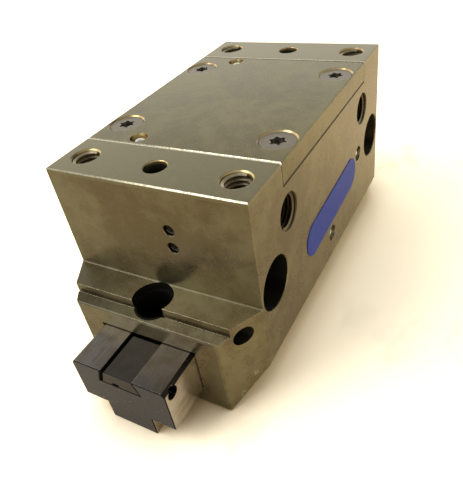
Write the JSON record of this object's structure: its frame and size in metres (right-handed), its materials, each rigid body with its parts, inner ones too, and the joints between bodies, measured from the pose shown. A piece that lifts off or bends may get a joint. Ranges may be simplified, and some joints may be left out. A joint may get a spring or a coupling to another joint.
{
  "type": "parallel gripper",
  "caption": "Pneumatic parallel gripper: a central piston with a wedge hook drives two opposed T-section jaws in and out along the housing.",
  "frame": {"origin": "centre of the mounting face, on the axis of the piston", "axes": "+Z out of the mounting face towards the robot, jaws at the bottom; +Y along the jaws' travel; +X towards the side with the air ports"},
  "size_m": [0.0482, 0.122, 0.0493],
  "materials": {
    "anodised_housing": "hard-anodised satin, olive grey",
    "anodised_cover": "hard-anodised satin, olive grey",
    "screw_steel": "plated steel, satin",
    "seal_rubber": "black nitrile rubber",
    "ball_steel": "polished bearing steel",
    "label_film": "printed blue film",
    "bush_bronze": "sintered bronze",
    "piston_alloy": "turned aluminium",
    "guide_plastic": "bearing plastic",
    "hook_steel": "hardened and ground steel",
    "jaw_steel": "hardened and ground tool steel, dark",
    "cam_steel": "blackened steel",
    "grub_screw_steel": "black steel"
  },
  "bodies": {
    "housing": {"housing": "anodised_housing", "cover": "anodised_cover", "cover_screws": "screw_steel", "cover_seal": "seal_rubber", "cover_plugs": "ball_steel", "side_plugs": "ball_steel", "side_label": "label_film", "rod_seal": "seal_rubber", "rod_bush": "bush_bronze"},
    "piston": {"piston": "piston_alloy", "piston_seal": "seal_rubber", "piston_guide_ring": "guide_plastic", "piston_screw": "screw_steel", "spigot_seal": "seal_rubber", "wedge_hook": "hook_steel"},
    "jaw_near": {"jaw_near": "jaw_steel", "cam_screw_near": "grub_screw_steel"},
    "jaw_far": {"jaw_far": "jaw_steel", "cam_screw_far": "grub_screw_steel"},
    "cam_near": {"switch_cam_near": "cam_steel"},
    "cam_far": {"switch_cam_far": "cam_steel"}
  },
  "joints": [
    {"name": "piston_lift", "type": "slide", "parent": "housing", "child": "piston", "axis": [0, 0, 1], "range_m": [0, 0.01]},
    {"name": "jaw_near_slide", "type": "slide", "parent": "housing", "child": "jaw_near", "axis": [0, 1, 0], "range_m": [0, 0.01]},
    {"name": "jaw_far_slide", "type": "slide", "parent": "housing", "child": "jaw_far", "axis": [0, -1, 0], "range_m": [0, 0.01]},
    {"name": "cam_near_adjust", "type": "slide", "parent": "jaw_near", "child": "cam_near", "axis": [0, 1, 0], "range_m": [0, 0.008]},
    {"name": "cam_far_adjust", "type": "slide", "parent": "jaw_far", "child": "cam_far", "axis": [0, -1, 0], "range_m": [0, 0.008]}
  ],
  "couplings": [
    {"joint": "jaw_near_slide", "follows": "piston_lift", "ratio": 1},
    {"joint": "jaw_far_slide", "follows": "piston_lift", "ratio": 1}
  ]
}
